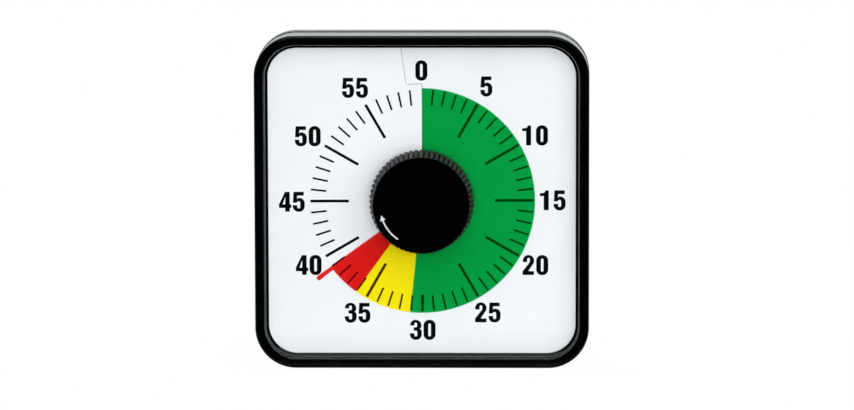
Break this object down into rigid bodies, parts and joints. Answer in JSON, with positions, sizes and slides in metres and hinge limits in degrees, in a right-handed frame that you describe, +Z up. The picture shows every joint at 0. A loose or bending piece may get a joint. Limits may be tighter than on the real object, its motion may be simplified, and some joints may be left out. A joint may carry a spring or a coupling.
{
  "type": "visual countdown timer",
  "caption": "Square wind-up sixty-minute timer with a knob in front; a coloured disc climbs through a slit in the dial and shows the time left; clear pane, magnets and leg behind.",
  "frame": {"origin": "centre of the bounding box's bottom face, on the surface that the timer stands on", "axes": "+Z up, -Y out of the dial towards the reader, +X to the reader's right, towards the 15"},
  "size_m": [0.19, 0.0546, 0.19],
  "materials": {
    "case_black": "moulded satin black with a fine grain",
    "clear_pane": "clear moulded acrylic, polished",
    "dial_white": "white printed sheet, matt, with black figures and minute marks",
    "inner_grey": "moulded dark grey, matt",
    "steel": "turned steel",
    "dark_screw": "blackened steel",
    "magnet_nickel": "nickel-plated, slightly scuffed",
    "brass": "stamped sheet brass",
    "sheet_steel": "stamped sheet steel, satin",
    "spring_steel": "blued spring strip",
    "bell_nickel": "nickel-plated bell",
    "knob_black": "moulded black, satin face and ribbed side",
    "hub_white": "moulded white, smooth",
    "film_green": "translucent green film",
    "film_yellow": "translucent yellow film",
    "film_red": "translucent red film",
    "leg_black": "moulded black, fine grain",
    "rubber": "soft rubber pad"
  },
  "bodies": {
    "case": {"front_bezel": "case_black", "rear_housing": "case_black", "front_pane": "clear_pane", "dial_plate": "dial_white", "dial_carrier": "inner_grey", "carrier_screws": "steel", "case_screws": "dark_screw", "magnets": "magnet_nickel", "front_plate": "brass", "back_plate": "brass", "pillars": "steel", "pillar_nuts": "steel", "movement_screws": "steel", "spring_barrel": "sheet_steel", "barrel_cover": "sheet_steel", "mainspring": "spring_steel", "hammer_pivot": "steel", "bell_post": "steel", "bell": "bell_nickel", "bell_screw": "steel", "stand_pin": "steel"},
    "winder": {"knob": "knob_black", "main_shaft": "steel", "main_wheel": "brass", "ratchet_wheel": "steel", "click_pawl": "steel", "click_spring": "spring_steel", "strike_cam": "brass"},
    "colour_disc": {"disc_hub": "hub_white", "disc_green": "film_green", "disc_yellow": "film_yellow", "disc_red": "film_red"},
    "second_set": {"second_arbor": "steel", "second_wheel": "brass"},
    "third_set": {"third_arbor": "steel", "third_wheel": "brass"},
    "escape_set": {"escape_arbor": "steel", "escape_wheel": "brass"},
    "pallet_set": {"pallet_arbor": "steel", "pallet_lever": "steel", "balance_wheel": "brass"},
    "hammer": {"hammer_arm": "sheet_steel", "hammer_head": "brass"},
    "stand": {"stand_leg": "leg_black", "stand_pad": "rubber"}
  },
  "joints": [
    {"name": "knob_turn", "type": "hinge", "parent": "case", "child": "winder", "pos_m": [0, -0.0093, 0.095], "axis": [0, 1, 0], "range_deg": [-234, 126]},
    {"name": "film_float", "type": "slide", "parent": "winder", "child": "colour_disc", "axis": [0, -1, 0], "range_m": [-0.00105, 0.00057]},
    {"name": "second_spin", "type": "hinge", "parent": "case", "child": "second_set", "pos_m": [-0.01819, 0.0093, 0.1055], "axis": [0, 1, 0], "continuous": true},
    {"name": "third_spin", "type": "hinge", "parent": "case", "child": "third_set", "pos_m": [-0.00654, 0.0063, 0.11496], "axis": [0, 1, 0], "continuous": true},
    {"name": "escape_spin", "type": "hinge", "parent": "case", "child": "escape_set", "pos_m": [0.00338, 0.0053, 0.11623], "axis": [0, 1, 0], "continuous": true},
    {"name": "pallet_rock", "type": "hinge", "parent": "case", "child": "pallet_set", "pos_m": [0.0123, 0.0073, 0.11948], "axis": [0, 1, 0], "range_deg": [-5, 5]},
    {"name": "hammer_swing", "type": "hinge", "parent": "case", "child": "hammer", "pos_m": [0.008, 0.0207, 0.085], "axis": [0, -1, 0], "range_deg": [-6, 7]},
    {"name": "stand_fold", "type": "hinge", "parent": "case", "child": "stand", "pos_m": [0, 0.025, 0.061], "axis": [1, 0, 0], "range_deg": [0, 32]}
  ],
  "couplings": [
    {"joint": "film_float", "follows": "knob_turn", "m_per_rad": 0.00025465},
    {"joint": "second_spin", "follows": "knob_turn", "ratio": -6},
    {"joint": "third_spin", "follows": "knob_turn", "ratio": 30},
    {"joint": "escape_spin", "follows": "knob_turn", "ratio": -120}
  ]
}
